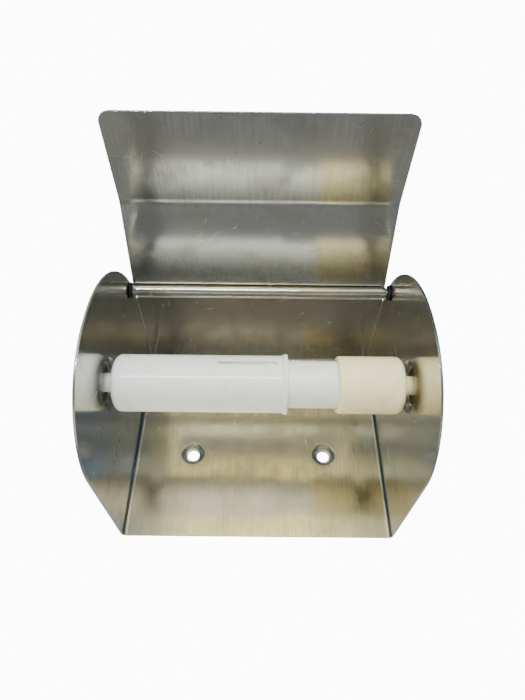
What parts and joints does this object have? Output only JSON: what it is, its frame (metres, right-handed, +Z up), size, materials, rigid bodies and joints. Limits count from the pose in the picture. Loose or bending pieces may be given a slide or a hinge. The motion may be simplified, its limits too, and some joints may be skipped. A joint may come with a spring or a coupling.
{
  "type": "toilet paper holder",
  "caption": "Wall-mounted toilet paper holder: folded sheet-steel housing, hinged hood with a shallow bend, and a sprung telescopic roll spindle.",
  "frame": {"origin": "centre of the wall mount: on the rear face of the back plate, midway between the two screw holes", "axes": "+Y into the wall (normal of the back plate's rear face), +Z up, +X to the right as seen from the front"},
  "size_m": [0.1392, 0.1559, 0.1143],
  "materials": {
    "satin_steel": "mill-rolled satin stainless steel, slightly mirror-like",
    "bright_steel": "drawn bright steel rod and wire",
    "white_plastic": "glossy white injection-moulded plastic",
    "ivory_plastic": "glossy ivory, slightly translucent plastic",
    "dark_washer": "matt black nylon"
  },
  "bodies": {
    "holder": {"housing": "satin_steel", "hinge_pin": "bright_steel", "hinge_washer_left": "dark_washer", "hinge_washer_right": "dark_washer"},
    "hood": {"hood": "satin_steel"},
    "spindle_outer": {"spindle_sleeve": "white_plastic", "spindle_spring": "bright_steel"},
    "spindle_inner": {"spindle_tube": "white_plastic", "spindle_cap": "ivory_plastic"}
  },
  "joints": [
    {"name": "hood_hinge", "type": "hinge", "parent": "holder", "child": "hood", "pos_m": [0, -0.0672, 0.0567], "axis": [1, 0, 0], "range_deg": [0, 87]},
    {"name": "spindle_spin", "type": "hinge", "parent": "holder", "child": "spindle_outer", "pos_m": [0, -0.067, 0.0016], "axis": [1, 0, 0], "continuous": true},
    {"name": "spindle_slide", "type": "slide", "parent": "spindle_outer", "child": "spindle_inner", "axis": [1, 0, 0], "range_m": [-0.0072, 0], "stiffness_N_per_m": 250, "springref_m": 0.02, "deforming": ["spindle_spring"]}
  ]
}
